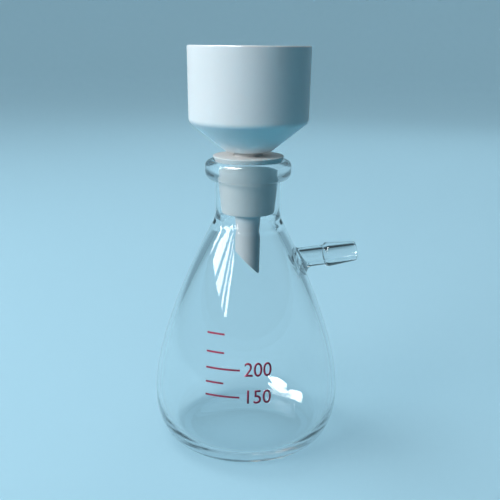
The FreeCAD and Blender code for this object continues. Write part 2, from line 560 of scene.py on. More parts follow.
@dataclass(frozen=True)
class ClearGlass:
    """Clear blown borosilicate glass. Lamps shine through it, so what it holds is lit."""

    name: str = "clear_blown_glass"
    colour: Colour = (0.985, 0.995, 0.995)
    shade: Colour = (0.94, 0.965, 0.97)
    edge_shade: Colour = (0.12, 0.24, 0.30)
    edge_blend: float = 0.2
    ior: float = 1.473
    waviness: Grain = Grain(scale=38.0, detail=1.0)
    wave_height: float = 0.03 * MM

    def material(self) -> Material:
        """The finish as a node material, which lamps and diffuse light pass as a tinted film.

        Returns:
            The material.
        """
        nodes = FinishNodes(bpy.data.materials.new(self.name))
        glass = nodes.node(
            "ShaderNodeBsdfPrincipled",
            Base_Color=(*self.colour, 1.0),
            Roughness=0.0,
            IOR=self.ior,
            Transmission_Weight=1.0,
            Normal=nodes.bump(self.waviness, self.wave_height),
        )
        slant = nodes.node("ShaderNodeLayerWeight", Blend=self.edge_blend).outputs["Facing"]
        film = nodes.node("ShaderNodeBsdfTransparent", Color=nodes.tint(slant, self.shade, self.edge_shade))
        shown = glass.outputs["BSDF"]
        for fact in ("Is Diffuse Ray", "Is Shadow Ray"):
            shown = nodes.mixed(nodes.ray(fact), shown, film.outputs["BSDF"])
        return nodes.show(shown)


@dataclass(frozen=True)
class SolidFinish:
    """An opaque moulded surface: rubber, plastic or ink."""

    name: str
    low: Colour
    high: Colour
    mottle: Grain
    sheen: Grain
    texture: Grain
    texture_height: float

    def material(self) -> Material:
        """The finish as a node material.

        Returns:
            The material.
        """
        nodes = FinishNodes(bpy.data.materials.new(self.name))
        surface = nodes.node(
            "ShaderNodeBsdfPrincipled",
            Base_Color=nodes.tint(nodes.noise(self.mottle), self.low, self.high),
            Roughness=nodes.noise(self.sheen),
            Normal=nodes.bump(self.texture, self.texture_height),
        )
        return nodes.show(surface.outputs["BSDF"])


WHITE_PLASTIC = SolidFinish(
    name="white_moulded_plastic",
    low=(0.78, 0.80, 0.81),
    high=(0.84, 0.86, 0.87),
    mottle=Grain(scale=22.0, detail=3.0),
    sheen=Grain(scale=60.0, detail=2.0, low=0.34, high=0.46),
    texture=Grain(scale=900.0, detail=2.0),
    texture_height=0.02 * MM,
)
WHITE_RUBBER = SolidFinish(
    name="white_rubber",
    low=(0.80, 0.79, 0.77),
    high=(0.88, 0.87, 0.85),
    mottle=Grain(scale=90.0, detail=4.0),
    sheen=Grain(scale=120.0, detail=2.0, low=0.5, high=0.66),
    texture=Grain(scale=1500.0, detail=3.0),
    texture_height=0.04 * MM,
)
RED_INK = SolidFinish(
    name="fired_red_ink",
    low=(0.19, 0.010, 0.045),
    high=(0.26, 0.016, 0.060),
    mottle=Grain(scale=400.0, detail=3.0),
    sheen=Grain(scale=300.0, detail=1.0, low=0.4, high=0.55),
    texture=Grain(scale=2500.0, detail=2.0),
    texture_height=0.01 * MM,
)


# ---- Filter flask ----


@dataclass
class Skin:
    """The outer or inner face of the flask's wall, from the middle of the base up to the neck.

    The flask gives the proportions that both faces share. The corners above the shoulder are
    in order, from the neck to the lip.
    """

    flask: "FilterFlask"
    middle_z: float
    foot: float
    widest: float
    corner: Corner
    above: list[Corner]

    def __post_init__(self) -> None:
        """Works out the curve of the flank."""
        angle = math.radians(self.flask.cone_angle)
        down = Vector((math.sin(angle), -math.cos(angle)))
        self.shoulder = arc_start(
            self.corner.spot + down * self.flask.cone_run, self.corner, self.above[0].spot
        )
        self.waist = Vector((self.widest, self.flask.widest_z))
        self.flank_handles = (
            self.waist,
            self.waist + Vector((0, self.flask.side_rise)),
            self.shoulder + down * self.flask.cone_run,
            self.shoulder,
        )
        fine = bezier(*self.flank_handles, steps=self.flask.fine_steps)
        self.flank_z = [p.y for p in fine]
        self.flank_r = [p.x for p in fine]

    def base(self) -> list[Vector]:
        """The pushed-up middle of the base and the flat ring round it.

        Returns:
            The points, from the middle outwards.
        """
        low = self.middle_z
        high = low + self.flask.punt_rise
        punt = self.flask.punt_radius
        points = bezier(
            Vector((0, high)),
            Vector((punt / 2, high)),
            Vector((punt * self.flask.punt_fullness, low)),
            Vector((punt, low)),
            steps=self.flask.base_steps,
        )
        return points + straight(points[-1], Vector((self.foot, low)), self.flask.row)[1:]

    def side(self) -> list[Vector]:
        """The heel and the flank, from the flat ring up to the turn of the shoulder.

        Returns:
            The points, without the one that the flat ring ends in.
        """
        foot = Vector((self.foot, self.middle_z))
        heel_corner = Vector((self.widest, foot.y))
        share = self.flask.heel_fullness
        heel = bezier(
            foot,
            foot.lerp(heel_corner, share),
            self.waist.lerp(heel_corner, share),
            self.waist,
            steps=self.flask.heel_steps,
        )
        return heel[1:] + bezier(*self.flank_handles, steps=self.flask.flank_steps)[1:]

    def outline(self) -> list[Vector]:
        """The whole face from the middle of the base up.

        Returns:
            The points.
        """
        start = Corner(self.shoulder.x, self.shoulder.y)
        turn = rounded([start, self.corner, *self.above], self.flask.row, self.flask.arc_steps)
        return self.base() + self.side() + turn[1:]

    def radius(self, height: float) -> float:
        """The flank's radius at a height, found between the curve's own points.

        Args:
            height: the height; past the flank's ends, the radius stays as it is there.

        Returns:
            The radius.
        """
        z = min(max(height, self.flank_z[0]), self.flank_z[-1])
        after = max(1, bisect_left(self.flank_z, z))
        z0, z1 = self.flank_z[after - 1 : after + 1]
        r0, r1 = self.flank_r[after - 1 : after + 1]
        return r0 + (r1 - r0) * (z - z0) / (z1 - z0)


@dataclass
class SideTube:
    """The side tube with its hose nozzle, measured along its own axis, in metres."""

    axis_z: float
    tilt: float = 6.0
    radius: float = 4.6 * MM
    bore: float = 2.8 * MM
    seam: float = 3.0 * MM
    inner_seam: float = 1.0 * MM
    reach: float = 50.6 * MM
    nozzle: float = 15.0 * MM
    lead: float = 2.4 * MM
    step: float = 1.1 * MM
    taper: float = 1.3 * MM
    shoulder_rounding: float = 2.0 * MM
    shoulder_fillet: float = 0.8 * MM
    tip_rounding: float = 0.7 * MM
    tip_flare: float = 0.35 * MM
    tip_flare_rounding: float = 1.4
    tip_flare_depth: float = 3.0
    row: float = 0.9 * MM
    arc_steps: int = 6
    inside_wall: float = 8.0 * MM
    outside_wall: float = 46.0 * MM
    halvings: int = 40

    def __post_init__(self) -> None:
        """Sets up the tube's own axes."""
        angle = math.radians(self.tilt)
        self.start = Vector((0, 0, self.axis_z))
        self.along = Vector((math.cos(angle), 0, math.sin(angle)))
        self.across = Vector((0, 1, 0))
        self.up = Vector((-math.sin(angle), 0, math.cos(angle)))

    def place(self, radius: float, angle: float, along: float) -> Vector:
        """The point at this radius, angle and length along the tube's axis."""
        out = self.across * math.cos(angle) + self.up * math.sin(angle)
        return self.start + self.along * along + out * radius

    def polar(self, spot: Vector) -> tuple[float, float]:
        """A point's radius and angle about the tube's axis.

        Args:
            spot: the point.

        Returns:
            The radius and the angle.
        """
        arm = spot - self.start
        across, up = arm.dot(self.across), arm.dot(self.up)
        return math.hypot(across, up), math.atan2(up, across)

    def on_skin(self, skin: Skin, radius: float, angle: float) -> Vector:
        """Where a line beside the tube's axis meets the flask's wall, found by halving.

        Args:
            skin: the face of the wall.
            radius: the line's distance from the axis.
            angle: its angle about the axis.

        Returns:
            The point on the wall.
        """
        near, far = self.inside_wall, self.outside_wall
        for _ in range(self.halvings):
            middle = (near + far) / 2
            spot = self.place(radius, angle, middle)
            if math.hypot(spot.x, spot.y) < skin.radius(spot.z):
                near = middle
            else:
                far = middle
        return self.place(radius, angle, far)

    def outline(self) -> list[Vector]:
        """The tube's outside, nozzle and open end as radius and length along the axis.

        Returns:
            The points, ending in the bore, a nozzle's length in.
        """
        shoulder = self.reach - self.nozzle
        nozzle_radius = self.radius + self.step
        flare = self.tip_flare
        corners = [
            Corner(self.radius, shoulder - self.lead),
            Corner(self.radius, shoulder, self.shoulder_fillet),
            Corner(nozzle_radius, shoulder + self.step, self.shoulder_rounding),
            Corner(nozzle_radius - self.taper, self.reach, self.tip_rounding),
            Corner(self.bore + flare, self.reach, flare * self.tip_flare_rounding),
            Corner(self.bore, self.reach - self.tip_flare_depth * flare, flare),
            Corner(self.bore, shoulder),
        ]
        return rounded(corners, self.row, self.arc_steps)


@dataclass
class FilterFlask:
    """The blown glass flask: body, neck, lip, tapered mouth and fused side tube."""

    height: float
    body_radius: float
    widest_z: float = 21.5 * MM
    heel_width: float = 11.5 * MM
    heel_fullness: float = 0.55
    foot_width: float = 4.0 * MM
    punt_rise: float = 2.6 * MM
    punt_fullness: float = 0.8
    side_rise: float = 27.0 * MM
    cone_angle: float = 27.0
    cone_run: float = 18.0 * MM
    neck_length: float = 25.0 * MM
    shoulder_turn: float = 16.0 * MM
    neck_radius: float = 14.2 * MM
    lip_out: float = 4.8 * MM
    lip_height: float = 8.6 * MM
    lip_top_rounding: float = 2.4 * MM
    lip_under_rounding: float = 3.6 * MM
    lip_fillet: float = 0.8 * MM
    side_wall: float = 2.2 * MM
    neck_wall: float = 1.1 * MM
    base_wall: float = 3.2 * MM
    inner_shoulder_drop: float = 6.2 * MM
    inner_shoulder_turn: float = 6.0 * MM
    mouth_flare: float = 1.3 * MM
    mouth_depth: float = 8.0 * MM
    mouth_fillet: float = 1.5 * MM
    mouth_rounding: float = 2.0 * MM
    seat_share: float = 0.65
    tube_drop: float = 23.0 * MM
    segments: int = 160
    row: float = 1.2 * MM
    base_steps: int = 24
    heel_steps: int = 28
    flank_steps: int = 72
    fine_steps: int = 600
    arc_steps: int = 10
    window_columns: int = 11
    window_rows: int = 20
    turn_slack: float = 0.5
    slope_probe: float = 0.6 * MM
    closing_steps: int = 9
    seam_steps: int = 8
    bore_steps: int = 12
    glass: ClearGlass = field(default_factory=ClearGlass)

    def __post_init__(self) -> None:
        """Works out the two faces of the wall and the side tube."""
        shoulder_z = self.height - self.neck_length
        foot_radius = self.body_radius - self.heel_width
        self.punt_radius = foot_radius - self.foot_width
        self.bore_radius = self.neck_radius - self.neck_wall
        mouth_radius = self.bore_radius + self.mouth_flare
        seat_drop = self.seat_share * self.mouth_rounding
        self.seat_top_z = self.height - seat_drop
        self.seat_radius = mouth_radius - self.mouth_flare * seat_drop / self.mouth_depth
        lip_radius = self.neck_radius + self.lip_out
        lip_z = self.height - self.lip_height
        edge = Corner((lip_radius + mouth_radius) / 2, self.height)
        self.outer = Skin(
            flask=self,
            middle_z=0.0,
            foot=foot_radius,
            widest=self.body_radius,
            corner=Corner(self.neck_radius, shoulder_z, self.shoulder_turn),
            above=[
                Corner(self.neck_radius, lip_z, self.lip_fillet),
                Corner(lip_radius, lip_z, self.lip_under_rounding),
                Corner(lip_radius, self.height, self.lip_top_rounding),
                edge,
            ],
        )
        self.inner = Skin(
            flask=self,
            middle_z=self.base_wall,
            foot=foot_radius - self.foot_width / 2,
            widest=self.body_radius - self.side_wall,
            corner=Corner(self.bore_radius, shoulder_z - self.inner_shoulder_drop, self.inner_shoulder_turn),
            above=[
                Corner(self.bore_radius, self.height - self.mouth_depth, self.mouth_fillet),
                Corner(mouth_radius, self.height, self.mouth_rounding),
                edge,
            ],
        )
        self.tube = SideTube(axis_z=shoulder_z - self.tube_drop)

    def window(self, outline: list[Vector], skin: Skin) -> tuple[int, int]:
        """The rows of an outline between which the side tube's window is cut.

        Args:
            outline: the outline's points.
            skin: the face of the wall that it follows.

        Returns:
            The first and last row.
        """
        centre = self.tube.on_skin(skin, 0.0, 0.0).z
        base_edge = self.body_radius / 2
        heights = [abs(point.y - centre) if point.x > base_edge else math.inf for point in outline]
        middle = heights.index(min(heights))
        return middle - self.window_rows // 2, middle + self.window_rows // 2

    def wall(self, draft: MeshDraft, rings: list[list[int]], rows: tuple[int, int]) -> list[int]:
        """Joins the rings of one face, leaving a window open for the side tube.

        Args:
            draft: the mesh being drawn.
            rings: the rings from the base up.
            rows: the window's first and last row.

        Returns:
            The points round the window, anticlockwise seen from outside.
        """
        half = self.window_columns
        count = self.segments
        open_columns = frozenset(column % count for column in range(-half, half))
        for row, (low, high) in enumerate(zip(rings, rings[1:])):
            draft.bridge(low, high, open_columns if rows[0] <= row < rows[1] else frozenset())
        first, last = rings[rows[0]], rings[rows[1]]
        edge = [first[column % count] for column in range(-half, half)]
        edge += [rings[row][half] for row in range(rows[0], rows[1])]
        edge += [last[column % count] for column in range(half, -half, -1)]
        edge += [rings[row][-half % count] for row in range(rows[1], rows[0], -1)]
        return edge

    def branch(
        self, draft: MeshDraft, edge: list[int], skin: Skin, radius: float, seam: float
    ) -> tuple[list[int], list[float]]:
        """Fills a window with rings that close in on the tube and turn out along it.

        Args:
            draft: the mesh being drawn.
            edge: the points round the window.
            skin: the face of the wall that the window is in.
            radius: the radius that the rings close in to.
            seam: the radius of the round turn between wall and tube.

        Returns:
            The last ring, on the tube, and the angles of its points about the tube's axis.
        """
        tube = self.tube
        count = len(edge)
        starts = [tube.polar(spot) for spot in draft.spots(edge)]
        angles = [angle for _, angle in starts]
        for index in range(1, count):
            while angles[index] < angles[index - 1] - self.turn_slack:
                angles[index] += 2 * math.pi
        even = [2 * math.pi * index / count for index in range(count)]
        shift = sum(angle - step for angle, step in zip(angles, even)) / count
        even = [step + shift for step in even]
        roots = [tube.on_skin(skin, radius, angle) for angle in even]
        slopes = [
            tube.on_skin(skin, radius + self.slope_probe, angle) - root for angle, root in zip(even, roots)
        ]
        halves = [slope.angle(tube.along) / 2 for slope in slopes]
        reaches = [seam / math.tan(half) for half in halves]
        feet = [radius + reach * math.sin(2 * half) for reach, half in zip(reaches, halves)]
        last = edge
        for step in range(1, self.closing_steps + 1):
            share = step / self.closing_steps
            ring = []
            for index in range(count):
                turned = angles[index] + (even[index] - angles[index]) * share
                near = starts[index][0] + (feet[index] - starts[index][0]) * share
                ring.append(tube.on_skin(skin, near, turned))
            last = draft.grow(last, ring)
        on_wall = draft.spots(last)
        for step in range(1, self.seam_steps + 1):
            t = step / self.seam_steps
            ring = []
            for wall_spot, root, half, reach in zip(on_wall, roots, halves, reaches):
                end = root + tube.along * reach
                a, b, c = (1 - t) ** 2, 2 * t * (1 - t) * math.sin(half), t * t
                ring.append((wall_spot * a + root * b + end * c) / (a + b + c))
            last = draft.grow(last, ring)
        return last, even

    def build(self) -> Object:
        """The flask as one closed mesh of glass.

        Returns:
            The piece, at the origin.
        """
        draft = MeshDraft()
        tube = self.tube
        outside, inside = self.outer.outline(), self.inner.outline()
        outer_rings = draft.turned(outside, self.segments)
        inner_rings = draft.turned(inside[:-1], self.segments) + [outer_rings[-1]]
        outer_edge = self.wall(draft, outer_rings, self.window(outside, self.outer))
        inner_edge = self.wall(draft, inner_rings, self.window(inside, self.inner))
        bore_end, inner_angles = self.branch(draft, inner_edge, self.inner, tube.bore, tube.inner_seam)
        last, outer_angles = self.branch(draft, outer_edge, self.outer, tube.radius, tube.seam)
        for radius, along in tube.outline():
            share = min(1.0, max(0.0, (radius - tube.bore) / (tube.radius - tube.bore)))
            turns = [inner + (outer - inner) * share for outer, inner in zip(outer_angles, inner_angles)]
            last = draft.grow(last, [tube.place(radius, turn, along) for turn in turns])
        start, stop = draft.spots(last), draft.spots(bore_end)
        for step in range(1, self.bore_steps):
            last = draft.grow(last, [a.lerp(b, step / self.bore_steps) for a, b in zip(start, stop)])
        draft.bridge(last, bore_end)
        return draft.finished("flask_glass_body", self.glass.material())


# ---- Rubber stopper ----


@dataclass
class RubberStopper:
    """The bored rubber stopper, spread in the tapered mouth and gripped by the neck."""

    foot_z: float
    top_z: float
    top_radius: float
    seat_top_z: float
    seat_radius: float
    grip_top_z: float
    grip_radius: float
    clearance: float = 0.05 * MM
    grip_band: float = 2.5 * MM
    grip_rounding: float = 1.5 * MM
    foot_radius: float = 11.7 * MM
    rounding: float = 0.3 * MM
    bore_foot: float = 5.902 * MM
    bore_top: float = 6.316 * MM
    segments: int = 128
    row: float = 0.8 * MM
    arc_steps: int = 5
    rubber: SolidFinish = WHITE_RUBBER

    def outline(self) -> list[Vector]:
        """The closed outline, from the foot up the outside and down the bore.

        Returns:
            The points; the last one is the first again.
        """
        start = Corner((self.foot_radius + self.bore_foot) / 2, self.foot_z)
        grip_radius = self.grip_radius - self.clearance
        corners = [
            start,
            Corner(self.foot_radius, self.foot_z, self.rounding),
            Corner(grip_radius, self.grip_top_z - self.grip_band),
            Corner(grip_radius, self.grip_top_z, self.grip_rounding),
            Corner(self.seat_radius - self.clearance, self.seat_top_z),
            Corner(self.top_radius, self.top_z, self.rounding),
            Corner(self.bore_top, self.top_z, self.rounding),
            Corner(self.bore_foot, self.foot_z, self.rounding),
            start,
        ]
        return rounded(corners, self.row, self.arc_steps)

    def build(self) -> Object:
        """The stopper as one closed mesh.

        Returns:
            The piece, at the origin.
        """
        draft = MeshDraft()
        rings = draft.turned(self.outline()[:-1], self.segments)
        draft.joined(rings + rings[:1])
        return draft.finished("stopper_rubber_body", self.rubber.material())


# ---- Filter funnel ----


@dataclass
class FilterFunnel:
    """The one-piece funnel: bowl, perforated plate, cone and bevelled stem."""

    rim_z: float
    rim_radius: float
    tip_z: float
    stopper_top_z: float
    stopper_gap: float = 2.1 * MM
    bowl_height: float = 31.8 * MM
    draft_in: float = 0.4 * MM
    wall: float = 2.2 * MM
    bowl_rounding: float = 3.0 * MM
    bowl_fillet: float = 1.2 * MM
    rim_rounding: float = 0.6 * MM
    cone_foot: float = 10.3 * MM
    cone_foot_rounding: float = 0.8 * MM
    plate: float = 2.6 * MM
    plate_up: float = 0.6 * MM
    plate_ledge: float = 1.0 * MM
    plate_fillet: float = 0.4 * MM
    hole: float = 1.8 * MM
    hole_sides: int = 24
    hole_rings: int = 3
    first_ring: int = 6
    hole_pitch: float = 6.0 * MM
    throat_up: float = 2.0 * MM
    throat_rounding: float = 1.0 * MM
    stem_top: float = 6.3 * MM
    stem_top_fillet: float = 0.3 * MM
    stem_taper: float = 0.9 * MM
    stem_bore: float = 3.8 * MM
    tip_rounding: float = 0.15 * MM
    bevel: float = 45.0
    bevel_blunt: float = 1.0 * MM
    bevel_block: float = 8.0
    sharp_angle: float = 35.0
    segments: int = 160
    row: float = 1.0 * MM
    plastic: SolidFinish = WHITE_PLASTIC

    def __post_init__(self) -> None:
        """Works out the heights of the cone's foot, the bowl's foot and the plate."""
        self.foot_z = self.stopper_top_z + self.stopper_gap
        self.bowl_foot = self.rim_z - self.bowl_height
        self.plate_z = self.bowl_foot + self.plate_up

    def outlines(self) -> tuple[list[Vector], list[Vector]]:
        """The outline over the plate, from the stem's tip, and the one under it, back to the tip.

        Returns:
            The points of both, the second without the tip, which they share.
        """
        inside = self.rim_radius - self.wall
        plate_top = self.plate_z + self.plate
        bowl_foot_radius = self.rim_radius - self.draft_in
        over = [
            Corner(self.stem_bore, self.tip_z),
            Corner(self.stem_top - self.stem_taper, self.tip_z, self.tip_rounding),
            Corner(self.stem_top, self.foot_z, self.stem_top_fillet),
            Corner(self.cone_foot, self.foot_z, self.cone_foot_rounding),
            Corner(bowl_foot_radius, self.bowl_foot, self.bowl_rounding),
            Corner(self.rim_radius, self.rim_z, self.rim_rounding),
            Corner(inside, self.rim_z, self.rim_rounding),
            Corner(inside - self.draft_in, plate_top, self.bowl_fillet),
            Corner(0, plate_top),
        ]
        under = [
            Corner(0, self.plate_z),
            Corner(bowl_foot_radius - self.wall - self.plate_ledge, self.plate_z, self.plate_fillet),
            Corner(self.stem_bore, self.foot_z + self.throat_up, self.throat_rounding),
            Corner(self.stem_bore, self.tip_z),
        ]
        return rounded(over, self.row), rounded(under, self.row)[:-1]

    def cutter_inputs(self) -> dict[str, tuple[str, object]]:
        """The kind and the value of each named input of the node group that cuts the funnel.

        Returns:
            The kinds and the values, by name.
        """
        size = self.bevel_block * self.stem_top
        slope = math.radians(self.bevel)
        edge = Vector((self.stem_top - self.stem_taper - self.bevel_blunt, 0, self.tip_z))
        away = Vector((-math.cos(slope), 0, -math.sin(slope)))
        return {
            "Rings": ("Int", self.hole_rings),
            "First_Ring": ("Int", self.first_ring),
            "Pitch": ("Float", self.hole_pitch),
            "Hole_Radius": ("Float", self.hole / 2),
            "Hole_Sides": ("Int", self.hole_sides),
            "Depth": ("Float", 2 * self.plate),
            "Height": ("Float", self.plate_z + self.plate / 2),
            "Bevel_Size": ("Float", size),
            "Bevel_Turn": ("Rotation", (0.0, math.pi / 2 - slope, 0.0)),
            "Bevel_Place": ("Vector", edge + away * (size / 2)),
            "Plastic": ("Material", self.plastic.material()),
        }

    def cutters(self) -> ShapeNodes:
        """The node group that cuts the plate's holes and the slanted tip out of the funnel.

        Returns:
            The group, ready to run.
        """
        tree = ShapeNodes("plate_perforations", self.cutter_inputs())
        given = tree.given
        pin = tree.node(
            "GeometryNodeMeshCylinder",
            Vertices=given["Hole_Sides"],
            Radius=given["Hole_Radius"],
            Depth=given["Depth"],
        )
        loop_in = tree.node("GeometryNodeRepeatInput")
        loop_out = tree.node("GeometryNodeRepeatOutput")
        loop_in.pair_with_output(loop_out)
        loop_out.repeat_items.new("INT", "Ring")
        middle = tree.node("GeometryNodePoints", Count=1)
        tree.feed(loop_in.inputs["Iterations"], given["Rings"])
        tree.feed(loop_in.inputs["Geometry"], middle.outputs[0])
        ring = tree.math("ADD", loop_in.outputs["Ring"], 1.0)
        circle = tree.node(
            "GeometryNodeMeshCircle",
            Vertices=tree.math("MULTIPLY", ring, given["First_Ring"]),
            Radius=tree.math("MULTIPLY", ring, given["Pitch"]),
        )
        spots = tree.node("GeometryNodeMeshToPoints", Mesh=circle.outputs["Mesh"])
        gathered = tree.gathered(loop_in.outputs["Geometry"], spots.outputs[0])
        tree.feed(loop_out.inputs["Geometry"], gathered)
        tree.feed(loop_out.inputs["Ring"], ring)
        lift = tree.node("ShaderNodeCombineXYZ", Z=given["Height"])
        raised = tree.node(
            "GeometryNodeSetPosition", Geometry=loop_out.outputs["Geometry"], Offset=lift.outputs[0]
        )
        pins = tree.node("GeometryNodeInstanceOnPoints", Points=raised.outputs[0], Instance=pin.outputs[0])
        real_pins = tree.node("GeometryNodeRealizeInstances", Geometry=pins.outputs[0])
        side = tree.node("ShaderNodeCombineXYZ", **dict.fromkeys("XYZ", given["Bevel_Size"]))
        block = tree.node("GeometryNodeMeshCube", Size=side.outputs[0])
        turned_block = tree.node(
            "GeometryNodeTransform",
            Geometry=block.outputs["Mesh"],
            Translation=given["Bevel_Place"],
            Rotation=given["Bevel_Turn"],
        )
        cut = tree.node(
            "GeometryNodeMeshBoolean",
            {"operation": "DIFFERENCE", "solver": "EXACT"},
            Mesh_1=given["Geometry"],
            Mesh_2=tree.gathered(real_pins.outputs[0], turned_block.outputs[0]),
        )
        tree.finish(cut.outputs["Mesh"], given["Plastic"])
        return tree

    def build(self) -> Object:
        """The funnel as one closed mesh.

        Returns:
            The piece, at the origin.
        """
        draft = MeshDraft()
        over, under = self.outlines()
        over_rings = draft.turned(over, self.segments)
        under_rings = draft.turned(under, self.segments) + [over_rings[0]]
        draft.joined(over_rings)
        draft.joined(under_rings)
        shown = self.cutters().grown(draft.finished("funnel_blank"), "funnel_plastic_body")
        shown.data.shade_smooth()
        shown.data.set_sharp_from_angle(angle=math.radians(self.sharp_angle))
        return shown


# ---- Graduations ----


class TickKind(Enum):
    """How long a graduation is."""

    LONG = "long"
    SHORT = "short"


@dataclass(frozen=True)
class Tick:
    """One graduation: its height on the flask, its kind and its number, if it carries one."""

    height: float
    kind: TickKind
    number: str = ""


@dataclass
class Graduations:
    """The fired ink scale on the front of the flask: plain ticks with plain numbers."""

    skin: Skin
    facing: float = -100.0
    long: float = 15.0 * MM
    short: float = 8.0 * MM
    stroke: float = 0.75 * MM
    number_size: float = 8.0 * MM
    number_gap: float = 1.6 * MM
    number_weight: float = 0.05 * MM
    number_steps: int = 6
    thickness: float = 0.04 * MM
    lift: float = 0.02 * MM
    bar_step: float = 0.8 * MM
    longest_edge: float = 1.2 * MM
    splits: int = 3
    ink: SolidFinish = RED_INK
    ticks: tuple[Tick, ...] = (
        Tick(60.6 * MM, TickKind.SHORT),
        Tick(53.2 * MM, TickKind.SHORT),
        Tick(46.7 * MM, TickKind.LONG, "200"),
        Tick(40.9 * MM, TickKind.SHORT),
        Tick(35.5 * MM, TickKind.LONG, "150"),
    )

    def bar(self, draft: MeshDraft, left: float, right: float, height: float) -> None:
        """Draws one flat bar of ink, finely divided so that it can bend round the glass.

        Args:
            draft: the mesh being drawn.
            left: where the bar starts.
            right: where it ends.
            height: how high its middle is.
        """
        steps = max(2, math.ceil((right - left) / self.bar_step))
        low, high = (
            draft.ring([Vector((left + (right - left) * i / steps, y, 0)) for i in range(steps + 1)])
            for y in (height - self.stroke / 2, height + self.stroke / 2)
        )
        for i in range(steps):
            draft.faces.append((low[i], low[i + 1], high[i + 1], high[i]))

    def build(self) -> Object:
        """All the ink as one mesh.

        Returns:
            The piece, at the origin.
        """
        draft = MeshDraft()
        left = -(self.long / 2 + self.number_size)
        for tick in self.ticks:
            length = self.long if tick.kind is TickKind.LONG else self.short
            self.bar(draft, left, left + length, tick.height)
        mesh = draft.mesh("flask_graduations")
        flat = bmesh.new()
        flat.from_mesh(mesh)
        for tick in self.ticks:
            if tick.number:
                flat.from_mesh(self.number(tick, left + self.long + self.number_gap))
        bmesh.ops.remove_doubles(flat, verts=flat.verts, dist=TINY)
        for _ in range(self.splits):
            long_edges = [e for e in flat.edges if e.calc_length() > self.longest_edge]
            if not long_edges:
                break
            bmesh.ops.subdivide_edges(flat, edges=long_edges, cuts=1)
            bmesh.ops.triangulate(flat, faces=[f for f in flat.faces if len(f.verts) > 4])
        self.wrap(flat)
        in_fixed_order(flat)
        flat.to_mesh(mesh)
        flat.free()
        outwards(mesh)
        return placed("flask_graduations", mesh, self.ink.material())

    def number(self, tick: Tick, left: float) -> Mesh:
        """A number as a flat mesh beside its tick.

        Args:
            tick: the graduation.
            left: where the number starts.

        Returns:
            The mesh.
        """
        text = bpy.data.curves.new("ink_number", "FONT")
        text.body = tick.number
        text.size = self.number_size
        text.align_y = "CENTER"
        text.resolution_u = self.number_steps
        text.offset = self.number_weight
        mesh = frozen(placed("ink_number", text))
        mesh.transform(Matrix.Translation((left, tick.height, 0)))
        return mesh

    def wrap(self, flat: bmesh.types.BMesh) -> None:
        """Bends the flat ink round the glass and gives it its thickness.

        Args:
            flat: the ink, with its width along X and its height along Y.
        """
        top = bmesh.ops.extrude_face_region(flat, geom=flat.faces[:])
        raised = {item for item in top["geom"] if isinstance(item, bmesh.types.BMVert)}
        facing = math.radians(self.facing)
        for vertex in flat.verts:
            across, height = vertex.co.x, vertex.co.y
            radius = self.skin.radius(height)
            angle = facing + across / radius
            radius += self.lift + (self.thickness if vertex in raised else 0.0)
            vertex.co = Vector((radius * math.cos(angle), radius * math.sin(angle), height))


# ---- Studio ----


@dataclass(frozen=True)
class Lamp:
    """A soft rectangular lamp that faces the object; mirrored says whether gloss and glass show it."""

    name: str
    azimuth: float
    elevation: float
    distance: float
    width: float
    height: float
    watts: float
    mirrored: bool = True


@dataclass(frozen=True)
class Pane:
    """A bright card, like one pane of a tall window, that shows only as a highlight.

    Its corners are directions from the object, as azimuth and elevation. A strength of 1 would
    show as plain white. It lights nothing, and shows in a ray mirrored once at most, so no
    highlight is mirrored in another. It shows in rays that have passed no face of glass, such
    as those mirrored by the outside of the near wall. With far_wall set, it shows instead in
    rays that have passed at least three faces, such as those mirrored by the far wall.
    """

    name: str
    corners: tuple[tuple[float, float], ...]
    strength: float = 16.0
    far_wall: bool = False


NO_GLASS_PASSED = 0.5
TWO_FACES_PASSED = 2.5
MIRRORED_ONCE = 1.5
LAMPS = (
    Lamp("side", azimuth=-58, elevation=28, distance=1.2, width=0.75, height=0.4, watts=11.4, mirrored=False),
    Lamp("top", azimuth=-110, elevation=65, distance=1.2, width=0.45, height=0.45, watts=6.0),
    Lamp("back", azimuth=158, elevation=30, distance=1.4, width=0.9, height=0.6, watts=3.0, mirrored=False),
)
PANES = (
    Pane("window_far", ((-94.6, 24.9), (-92.4, 23.6), (-100.6, 17.4), (-103.0, 18.4))),
    Pane("window_left", ((-88.6, 23.3), (-75.1, 29.6), (-61.0, 33.2), (-70.4, 22.4), (-86.6, 20.8))),
    Pane("window_middle", ((-55.0, 33.6), (-50.6, 35.4), (-51.6, 21.8), (-64.2, 22.4))),
    Pane("window_right", ((-45.0, 35.4), (-42.8, 35.4), (-42.0, 20.4), (-45.8, 21.4))),
    Pane("window_edge", ((-38.2, 34.5), (-33.2, 33.0), (-33.2, 19.6), (-37.2, 19.6))),
    Pane("window_high", ((-98.0, 38.0), (-30.0, 38.0), (-30.0, 80.0), (-98.0, 80.0)), strength=40.0),
    Pane(
        "far_left",
        ((-86.0, 36.0), (-102.0, 25.0), (-120.0, 35.0), (-122.0, 46.0), (-97.0, 56.0)),
        strength=25.0,
        far_wall=True,
    ),
    Pane(
        "far_right",
        ((-33.0, 24.0), (-48.0, 20.0), (-70.0, 28.0), (-79.0, 41.0), (-74.0, 48.0), (-50.0, 44.0)),
        strength=25.0,
        far_wall=True,
    ),
)


